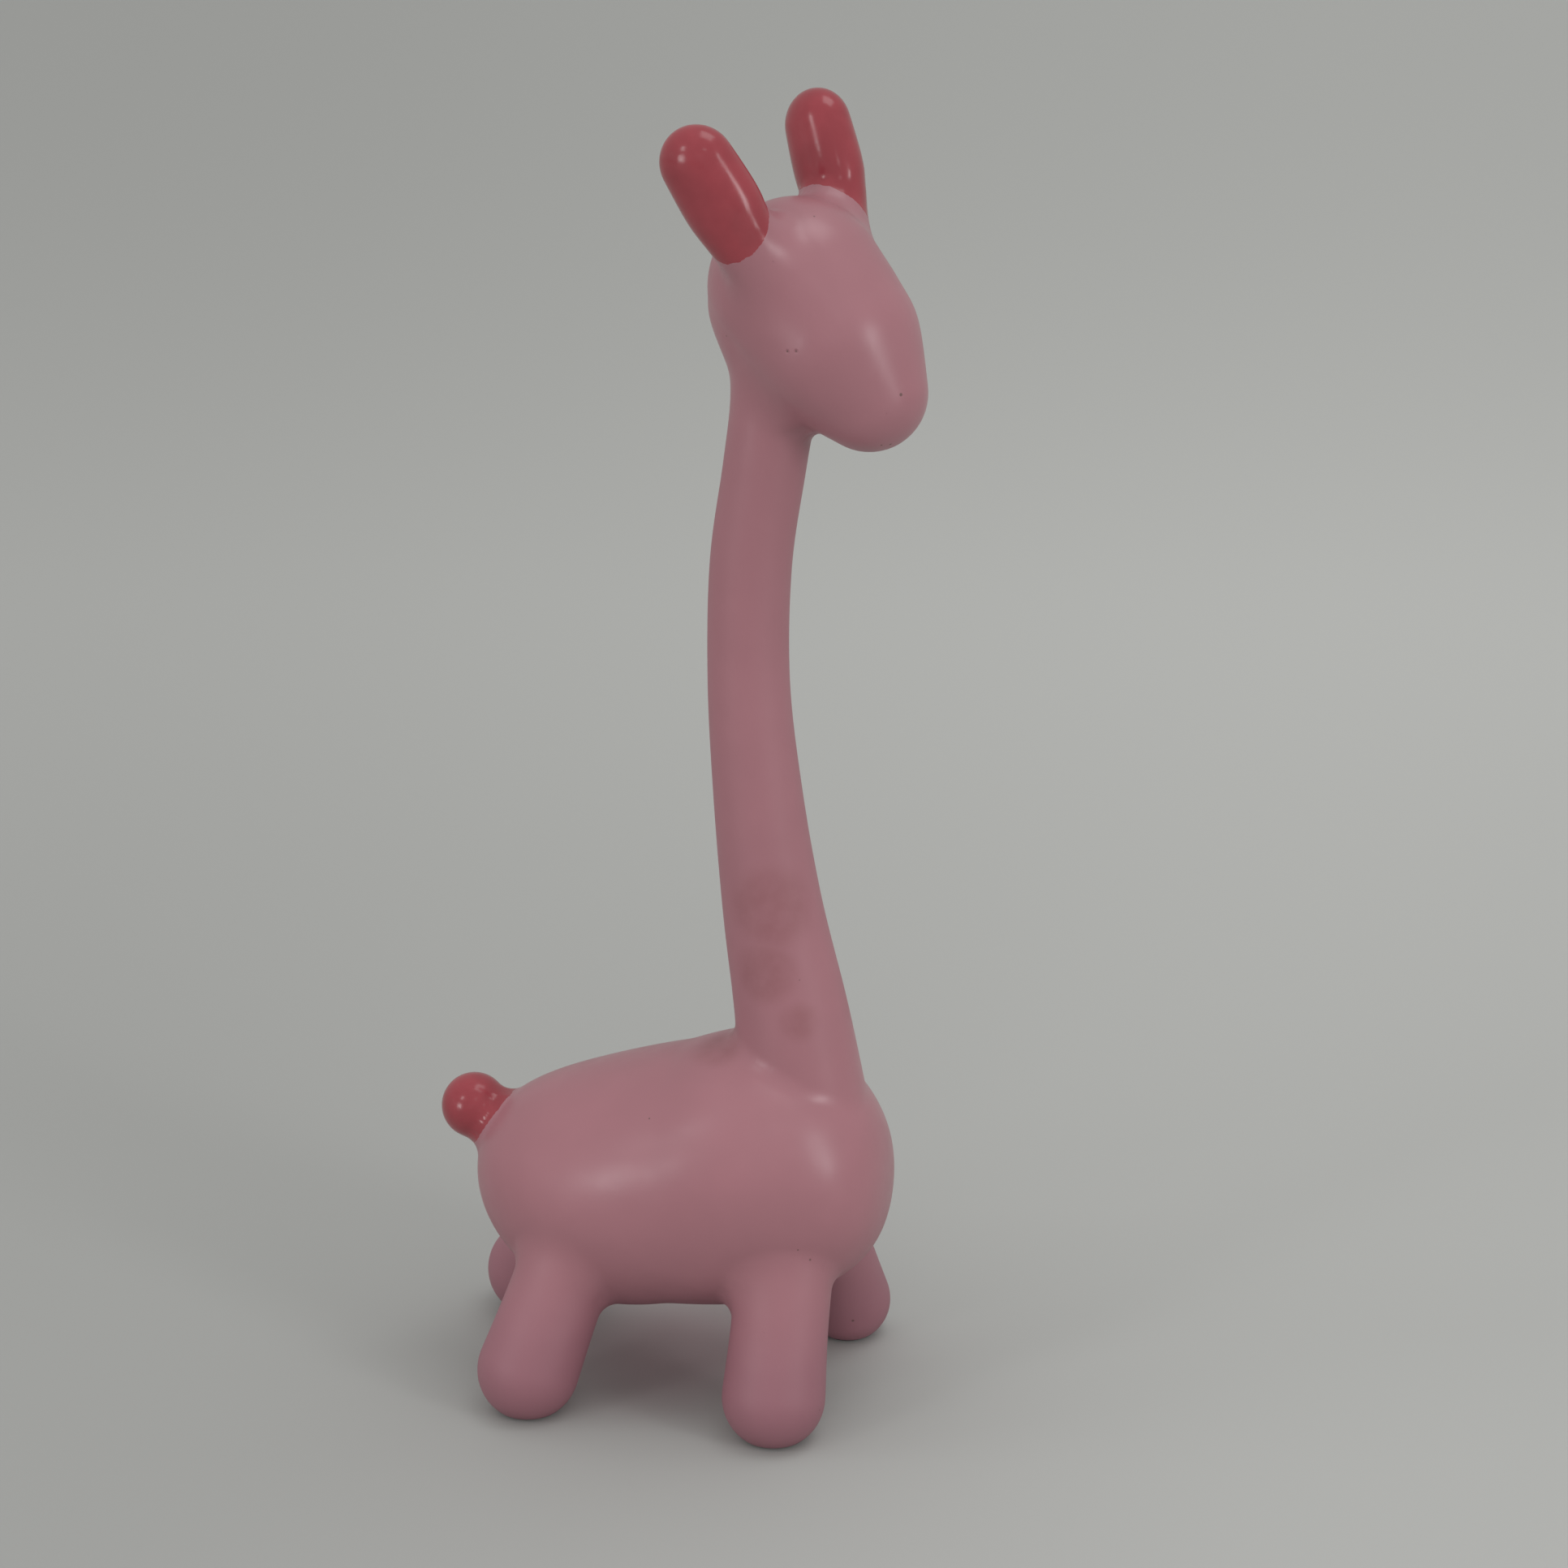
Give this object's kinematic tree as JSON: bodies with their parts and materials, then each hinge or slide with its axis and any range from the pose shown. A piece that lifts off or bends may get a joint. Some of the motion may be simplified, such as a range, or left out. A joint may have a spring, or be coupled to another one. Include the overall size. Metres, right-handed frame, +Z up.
{
  "type": "toy animal figure",
  "caption": "Long-necked toy wild animal figure with a smooth balloon-like body, a head turned to its right, upright ears and a ball tail, standing on its own feet.",
  "frame": {"origin": "on the ground, at the middle of the bounding box's bottom face", "axes": "+X towards the animal's front, +Y towards the animal's left side, +Z up"},
  "size_m": [0.117, 0.0804, 0.3],
  "materials": {
    "pink_paint": "satin pink paint over cast resin",
    "coral_paint": "glossy coral paint over cast resin",
    "rod_steel": "plain steel wire and rod, as cut",
    "pad_rubber": "matte dark rubber",
    "plug_rubber": "matte off-white rubber"
  },
  "bodies": {
    "root": {"belly_plug": "plug_rubber", "ear_left": "coral_paint", "ear_pin_left": "rod_steel", "ear_pin_right": "rod_steel", "ear_right": "coral_paint", "foot_pad_front_left": "pad_rubber", "foot_pad_front_right": "pad_rubber", "foot_pad_rear_left": "pad_rubber", "foot_pad_rear_right": "pad_rubber", "head": "pink_paint", "leg_front_left": "pink_paint", "leg_front_right": "pink_paint", "leg_pin_front_left": "rod_steel", "leg_pin_front_right": "rod_steel", "leg_pin_rear_left": "rod_steel", "leg_pin_rear_right": "rod_steel", "leg_rear_left": "pink_paint", "leg_rear_right": "pink_paint", "neck": "pink_paint", "neck_rod": "rod_steel", "tail": "coral_paint", "tail_pin": "rod_steel", "torso_shell": "pink_paint"}
  },
  "joints": []
}
